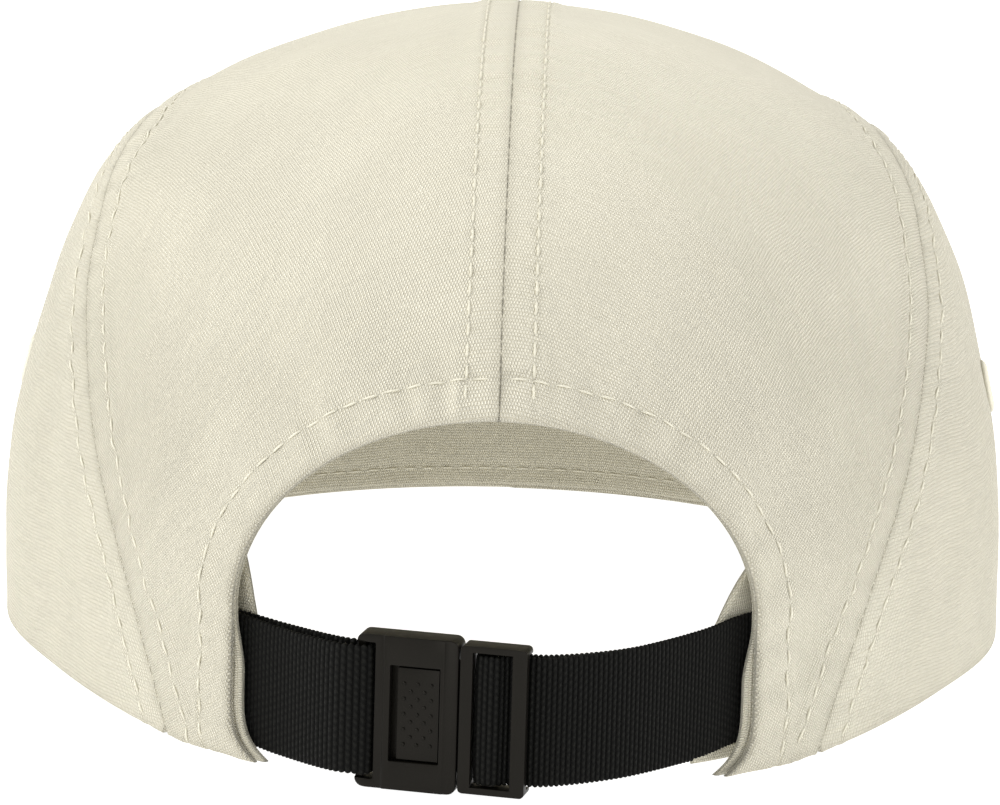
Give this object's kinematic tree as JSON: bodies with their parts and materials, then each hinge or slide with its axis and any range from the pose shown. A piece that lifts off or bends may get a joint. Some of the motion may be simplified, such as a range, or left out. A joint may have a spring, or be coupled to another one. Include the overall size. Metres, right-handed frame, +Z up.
{
  "type": "five panel cap",
  "caption": "Cloth five panel cap with a flat peak, an arched back opening, and a black webbing strap fastened by a side release buckle.",
  "frame": {"origin": "middle of the bottom of the whole cap's box, on the surface that the hem rests on", "axes": "+Z up through the top of the crown, -Y towards the peak, +X towards the wearer's left"},
  "size_m": [0.164, 0.2748, 0.1017],
  "materials": {
    "canvas": "matte plain weave cotton, cream",
    "trim": "matte plain weave cotton tape and thread, cream",
    "webbing": "ribbed woven tape, black",
    "buckle": "moulded, fine grained, black brown"
  },
  "bodies": {
    "root": {"front_panel": "canvas", "top_panel_left": "canvas", "top_panel_right": "canvas", "side_panel_left": "canvas", "side_panel_right": "canvas", "peak": "canvas", "sweatband": "trim", "opening_facing": "trim", "eyelet_left": "trim", "eyelet_right": "trim", "strap_left": "webbing", "strap_right": "webbing", "buckle_socket": "buckle", "buckle_plug": "buckle"}
  },
  "joints": []
}
